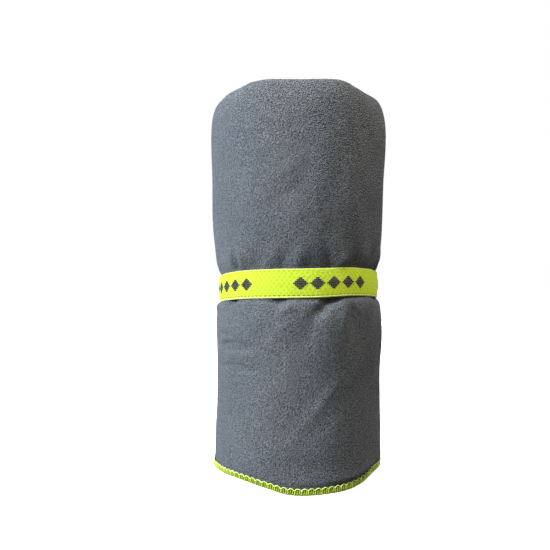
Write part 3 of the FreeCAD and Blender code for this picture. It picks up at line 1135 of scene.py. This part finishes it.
def add_world():
    """Soft light that grows upwards, with a plain white backdrop for the camera alone."""
    world = bpy.data.worlds.new("studio")
    bpy.context.scene.world = world
    world.use_nodes = True
    nodes, links = world.node_tree.nodes, world.node_tree.links
    way = nodes.new("ShaderNodeTexCoord")
    split = nodes.new("ShaderNodeSeparateXYZ")
    links.new(way.outputs["Generated"], split.inputs[0])
    ramp = nodes.new("ShaderNodeMapRange")
    ramp.inputs["From Min"].default_value, ramp.inputs["From Max"].default_value = AMBIENT_SLOPES
    ramp.inputs["To Min"].default_value, ramp.inputs["To Max"].default_value = AMBIENT_STRENGTHS
    links.new(split.outputs["Z"], ramp.inputs["Value"])
    soft = nodes["Background"]
    soft.inputs["Color"].default_value = AMBIENT_COLOUR
    links.new(ramp.outputs[0], soft.inputs["Strength"])
    seen = nodes.new("ShaderNodeBackground")
    seen.inputs["Color"].default_value = BACKDROP
    both = nodes.new("ShaderNodeMixShader")
    path = nodes.new("ShaderNodeLightPath")
    for k, socket in enumerate((path.outputs["Is Camera Ray"], soft.outputs[0], seen.outputs[0])):
        links.new(socket, both.inputs[k])
    links.new(both.outputs[0], nodes["World Output"].inputs["Surface"])


def add_camera():
    camera = bpy.data.cameras.new("camera")
    camera.sensor_width = 36
    camera.lens = CAMERA_LENS
    camera.shift_x, camera.shift_y = CAMERA_SHIFT
    holder = bpy.data.objects.new("camera", camera)
    bpy.context.scene.collection.objects.link(holder)
    holder.location = CAMERA_PLACE
    holder.rotation_euler = (math.radians(90), 0, 0)
    bpy.context.scene.camera = holder


# The whole


def make_edgings(threads):
    """The pair of pieces for each edging in the frame, and the dark sleeves of painted shade under
    the outermost ones.
    """
    inside = [along_long_edge(ply, EDGING_START, OUTER_START) for ply in (0, 1)]
    outside = [along_long_edge(ply, OUTER_START, EDGING_END) for ply in (0, 1)]
    free_end, core_end = along_short_edge(True), along_short_edge(False)
    stretches = {
        "long_edging_outer": [(inside[0], INSIDE_EDGE), (outside[0], OUTER_EDGE)],
        "long_edging_inner": [(inside[1], INSIDE_EDGE), (outside[1], INSIDE_EDGE)],
        "short_edging_free": [(free_end, FREE_END)],
        "short_edging_core": [(core_end, CORE_END)],
    }
    pair = (threads["edging_thread"], threads["edging_loop_thread"])
    stitches = {node: edging(node, parts, pair) for node, parts in stretches.items()}
    fill = threads["edging_painted_shade_fill"]
    return stitches, [
        # dark sleeves that paint the shade between the wrapping threads
        edging_fill("long_edging_painted_shade_fill", *outside[0], OUTER_EDGE[0], fill),
        edging_fill("short_edging_painted_shade_fill", *free_end, FREE_END[0], fill),
    ]


def make_band(band, threads, weave):
    """The loop, its lapped end, cords, rubber, motif and stitches."""
    loop = strip("elastic_loop", band, band.runs, 0.0, BAND_THICKNESS, True, weave)
    lap_start = band.run_at(LAP_ANGLE) - LAP_LENGTH / 2
    lap_runs = np.linspace(lap_start, lap_start + LAP_LENGTH, LAP_STEPS)
    lap_inner = BAND_THICKNESS + LAP_GAP
    lap = strip("elastic_lap", band, lap_runs, lap_inner, 2 * BAND_THICKNESS, False, weave)
    cords = selvedges(band, threads["selvedge_thread"])
    rubber = rubber_threads(band, rubber_material())
    motif = woven_motif(band, threads["motif_yarn"])
    tacks = bartack(band, threads["tack_thread"])
    return loop, lap, cords, rubber, motif, tacks


def declare_towel(towel, stitches, edgings):
    for piece in (towel, *edgings):
        face_outwards(piece)
        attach(piece, "roll")
    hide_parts("towel_cloth")
    for node, pair in stitches.items():
        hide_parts(node)


def declare_band(band, loop, lap, cords, rubber, motif, tacks):
    for piece in (loop, lap, cords, rubber, motif, tacks):
        face_outwards(piece)
        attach(piece, "band")
    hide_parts("elastic_band")
    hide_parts("rubber_threads")
    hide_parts("woven_motif")
    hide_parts("band_bartack")


def build():
    cloth = cloth_material()
    threads = {name: thread_material(name, *looks) for name, looks in THREADS.items()}
    weave = weave_material()
    towel = make_towel(cloth)
    stitches, fills = make_edgings(threads)
    edgings = [piece for pair in stitches.values() for piece in pair] + fills
    band = BandPath()
    band_pieces = make_band(band, threads, weave)
    declare_towel(towel, stitches, edgings)
    declare_band(band, *band_pieces)


add_camera()
bpy.context.scene.view_settings.view_transform = "Standard"
build()
add_floor()
for lamp in LAMPS:
    add_lamp(*lamp)
add_world()
